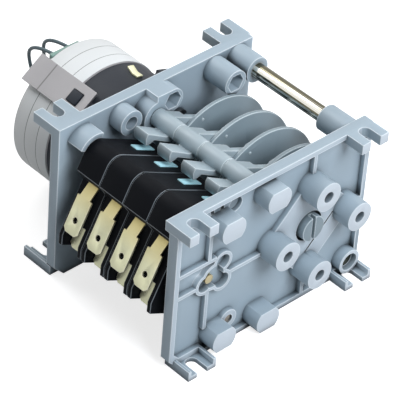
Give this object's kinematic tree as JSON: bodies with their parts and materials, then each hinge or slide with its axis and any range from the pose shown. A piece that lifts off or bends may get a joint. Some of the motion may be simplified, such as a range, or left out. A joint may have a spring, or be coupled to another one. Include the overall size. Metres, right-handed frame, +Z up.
{
  "type": "cam timer",
  "caption": "Motor-driven cam timer: moulded end plates, stacked programme cams on one shaft, rocking levers that press snap switches with blade terminals, and a round geared motor.",
  "frame": {"origin": "on the cam shaft axis, in the plane of the four front peg ends", "axes": "+Y along the cam shaft from the pegs to the motor, +Z up, +X away from the switches"},
  "size_m": [0.092, 0.1239, 0.058],
  "materials": {
    "grey_plastic": "satin",
    "black_plastic": "satin",
    "cyan_plastic": "satin",
    "terminal_brass": "satin",
    "pin_brass": "satin",
    "bright_steel": "gloss",
    "plated_steel": "satin",
    "label_film": "satin",
    "coil_winding": "satin",
    "lead_insulation": "satin",
    "tinned_copper": "satin",
    "grommet_plastic": "satin",
    "shaft_plastic": "satin"
  },
  "bodies": {
    "timer_frame": {"front_plate": "grey_plastic", "rear_plate": "grey_plastic", "spacer_rod_upper": "bright_steel", "spacer_rod_lower": "bright_steel", "lever_shaft": "bright_steel", "switch_pin_upper": "pin_brass", "switch_pin_lower": "pin_brass", "switch_housing_1": "black_plastic", "switch_housing_2": "black_plastic", "switch_housing_3": "black_plastic", "switch_housing_4": "black_plastic", "common_terminal_1": "terminal_brass", "common_terminal_2": "terminal_brass", "common_terminal_3": "terminal_brass", "common_terminal_4": "terminal_brass", "contact_terminal_1": "terminal_brass", "contact_terminal_2": "terminal_brass", "contact_terminal_3": "terminal_brass", "contact_terminal_4": "terminal_brass", "gearbox_housing": "black_plastic", "gearbox_screw_1": "bright_steel", "gearbox_screw_2": "bright_steel", "gearbox_screw_3": "bright_steel", "motor_can": "plated_steel", "motor_coil": "coil_winding", "motor_end_plate": "plated_steel", "motor_label": "label_film", "motor_clip_1": "plated_steel", "motor_clip_2": "plated_steel", "gearbox_earth_tab": "terminal_brass", "lead_grommet": "grommet_plastic", "motor_lead_1": "lead_insulation", "motor_lead_2": "lead_insulation", "lead_tip_1": "tinned_copper", "lead_tip_2": "tinned_copper"},
    "cam_drum": {"cam_shaft": "shaft_plastic", "cam_1": "grey_plastic", "cam_2": "grey_plastic", "cam_3": "grey_plastic", "cam_4": "grey_plastic", "drive_coupling": "black_plastic"},
    "lever_1": {"rocker_lever_1": "grey_plastic"},
    "plunger_1": {"switch_plunger_1": "cyan_plastic"},
    "lever_2": {"rocker_lever_2": "grey_plastic"},
    "plunger_2": {"switch_plunger_2": "cyan_plastic"},
    "lever_3": {"rocker_lever_3": "grey_plastic"},
    "plunger_3": {"switch_plunger_3": "cyan_plastic"},
    "lever_4": {"rocker_lever_4": "grey_plastic"},
    "plunger_4": {"switch_plunger_4": "cyan_plastic"}
  },
  "joints": [
    {"name": "cam_drum_spin", "type": "hinge", "parent": "timer_frame", "child": "cam_drum", "pos_m": [0, 0, 0], "axis": [0, 1, 0], "continuous": true},
    {"name": "lever_1_rock", "type": "hinge", "parent": "timer_frame", "child": "lever_1", "pos_m": [-0.0198, 0.0188, 0.0216], "axis": [0, 1, 0], "range_deg": [0, 8.9]},
    {"name": "plunger_1_slide", "type": "slide", "parent": "timer_frame", "child": "plunger_1", "axis": [0.454, 0, 0.891], "range_m": [0, 0.00144]},
    {"name": "lever_2_rock", "type": "hinge", "parent": "timer_frame", "child": "lever_2", "pos_m": [-0.0198, 0.0294, 0.0216], "axis": [0, 1, 0], "range_deg": [0, 8.9]},
    {"name": "plunger_2_slide", "type": "slide", "parent": "timer_frame", "child": "plunger_2", "axis": [0.454, 0, 0.891], "range_m": [0, 0.00144]},
    {"name": "lever_3_rock", "type": "hinge", "parent": "timer_frame", "child": "lever_3", "pos_m": [-0.0198, 0.04, 0.0216], "axis": [0, 1, 0], "range_deg": [0, 8.9]},
    {"name": "plunger_3_slide", "type": "slide", "parent": "timer_frame", "child": "plunger_3", "axis": [0.454, 0, 0.891], "range_m": [0, 0.00144]},
    {"name": "lever_4_rock", "type": "hinge", "parent": "timer_frame", "child": "lever_4", "pos_m": [-0.0198, 0.0506, 0.0216], "axis": [0, 1, 0], "range_deg": [0, 8.9]},
    {"name": "plunger_4_slide", "type": "slide", "parent": "timer_frame", "child": "plunger_4", "axis": [0.454, 0, 0.891], "range_m": [0, 0.00144]}
  ],
  "couplings": [
    {"joint": "lever_1_rock", "follows": "plunger_1_slide", "rad_per_m": 107.53},
    {"joint": "lever_2_rock", "follows": "plunger_2_slide", "rad_per_m": 107.53},
    {"joint": "lever_3_rock", "follows": "plunger_3_slide", "rad_per_m": 107.53},
    {"joint": "lever_4_rock", "follows": "plunger_4_slide", "rad_per_m": 107.53}
  ]
}
